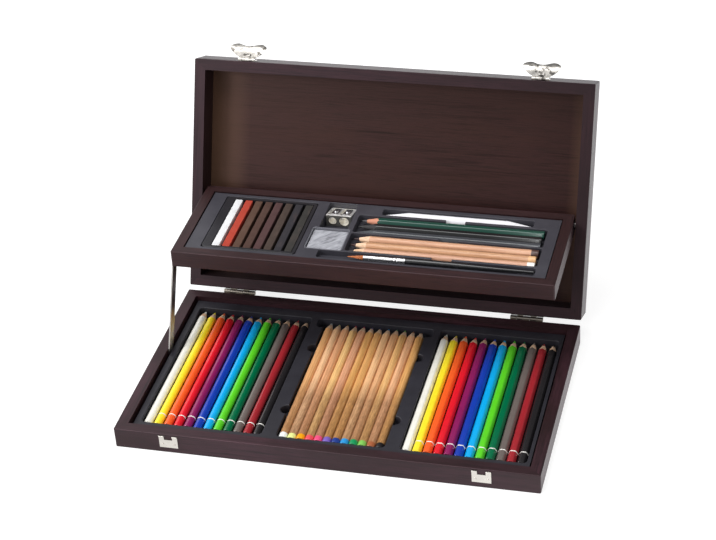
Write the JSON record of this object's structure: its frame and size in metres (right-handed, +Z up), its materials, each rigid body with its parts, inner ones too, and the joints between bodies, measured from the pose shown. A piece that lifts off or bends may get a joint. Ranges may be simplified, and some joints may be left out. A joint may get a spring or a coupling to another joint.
{
  "type": "hinged art-material storage box",
  "caption": "Shallow dark wooden case with a hinged lid, spring-free latches and a tray that rises level on pivots and a flat arm, fitted with wells for pencils and drawing tools.",
  "frame": {"origin": "centre of the case's underside, on the surface it stands on", "axes": "+X to the right along the case's long side, +Y to the back where the hinges are, +Z up; the lid is modelled open"},
  "size_m": [0.394, 0.3496, 0.2424],
  "materials": {
    "dark_wood": "satin dark stain",
    "panel_wood": "satin dark stain",
    "black_insert": "satin black formed sheet",
    "grey_insert": "satin slate grey formed sheet",
    "colour_pencil": "gloss lacquer, a colour each",
    "natural_pencil": "bare varnished wood",
    "dark_pencil": "gloss lacquer, green, black and grey",
    "nickel": "polished nickel plate",
    "steel": "brushed",
    "magnesium": "satin cast",
    "ferrule": "polished",
    "black_box": "satin black",
    "chalk": "matte chalk, a colour each",
    "clear_case": "frosted translucent",
    "eraser": "matte soft",
    "paper": "matte rolled paper",
    "black_lacquer": "gloss black lacquer",
    "hair": "fine brown hair"
  },
  "bodies": {
    "base": {"base_front_rail": "dark_wood", "base_back_rail": "dark_wood", "base_left_rail": "dark_wood", "base_right_rail": "dark_wood", "base_bottom_panel": "panel_wood", "base_insert": "black_insert", "round_colour_pencils": "colour_pencil", "natural_pencils": "natural_pencil", "six_sided_colour_pencils": "colour_pencil", "keeper_left": "nickel", "keeper_right": "nickel", "keeper_nails": "nickel", "hinge_left_base_leaf": "nickel", "hinge_right_base_leaf": "nickel", "hinge_left_pin": "nickel", "hinge_right_pin": "nickel", "base_hinge_screws": "nickel", "arm_foot_rivet": "steel"},
    "lid": {"lid_front_rail": "dark_wood", "lid_back_rail": "dark_wood", "lid_left_rail": "dark_wood", "lid_right_rail": "dark_wood", "lid_panel": "panel_wood", "hinge_left_lid_leaf": "nickel", "hinge_right_lid_leaf": "nickel", "lid_hinge_screws": "nickel", "latch_left_plate": "nickel", "latch_right_plate": "nickel", "latch_left_pin": "nickel", "latch_right_pin": "nickel", "latch_nails": "nickel", "tray_pivot_pin_left": "steel", "tray_pivot_pin_right": "steel"},
    "left_latch": {"latch_left_lever": "nickel"},
    "right_latch": {"latch_right_lever": "nickel"},
    "arm": {"support_arm": "steel"},
    "tray": {"tray_front_rail": "dark_wood", "tray_back_rail": "dark_wood", "tray_left_rail": "dark_wood", "tray_right_rail": "dark_wood", "tray_bottom_panel": "panel_wood", "tray_insert": "grey_insert", "arm_top_rivet": "steel", "chalk_box": "black_box", "chalk_sticks": "chalk", "sharpener_body": "magnesium", "sharpener_blades": "steel", "sharpener_screws": "steel", "eraser_case": "clear_case", "kneadable_eraser": "eraser", "blending_stump": "paper", "sketch_pencils_lacquered": "dark_pencil", "sketch_pencils_natural": "natural_pencil", "brush_handle": "black_lacquer", "brush_ferrule": "ferrule", "brush_hair": "hair"}
  },
  "joints": [
    {"name": "lid_hinge", "type": "hinge", "parent": "base", "child": "lid", "pos_m": [0, 0.1163, 0.0205], "axis": [1, 0, 0], "range_deg": [0, 112.8]},
    {"name": "tray_pivot", "type": "hinge", "parent": "lid", "child": "tray", "pos_m": [0, 0.15833, 0.10448], "axis": [1, 0, 0], "range_deg": [-112.8, 0]},
    {"name": "arm_hinge", "type": "hinge", "parent": "base", "child": "arm", "pos_m": [-0.1852, 0.018, 0.0165], "axis": [1, 0, 0], "range_deg": [0, 112.8]},
    {"name": "latch_left", "type": "hinge", "parent": "lid", "child": "left_latch", "pos_m": [-0.1445, 0.20776, 0.23317], "axis": [1, 0, 0], "range_deg": [0, 106]},
    {"name": "latch_right", "type": "hinge", "parent": "lid", "child": "right_latch", "pos_m": [0.1445, 0.20776, 0.23317], "axis": [1, 0, 0], "range_deg": [0, 106]}
  ],
  "couplings": [
    {"joint": "tray_pivot", "follows": "lid_hinge", "ratio": -1},
    {"joint": "arm_hinge", "follows": "lid_hinge", "ratio": 1}
  ]
}
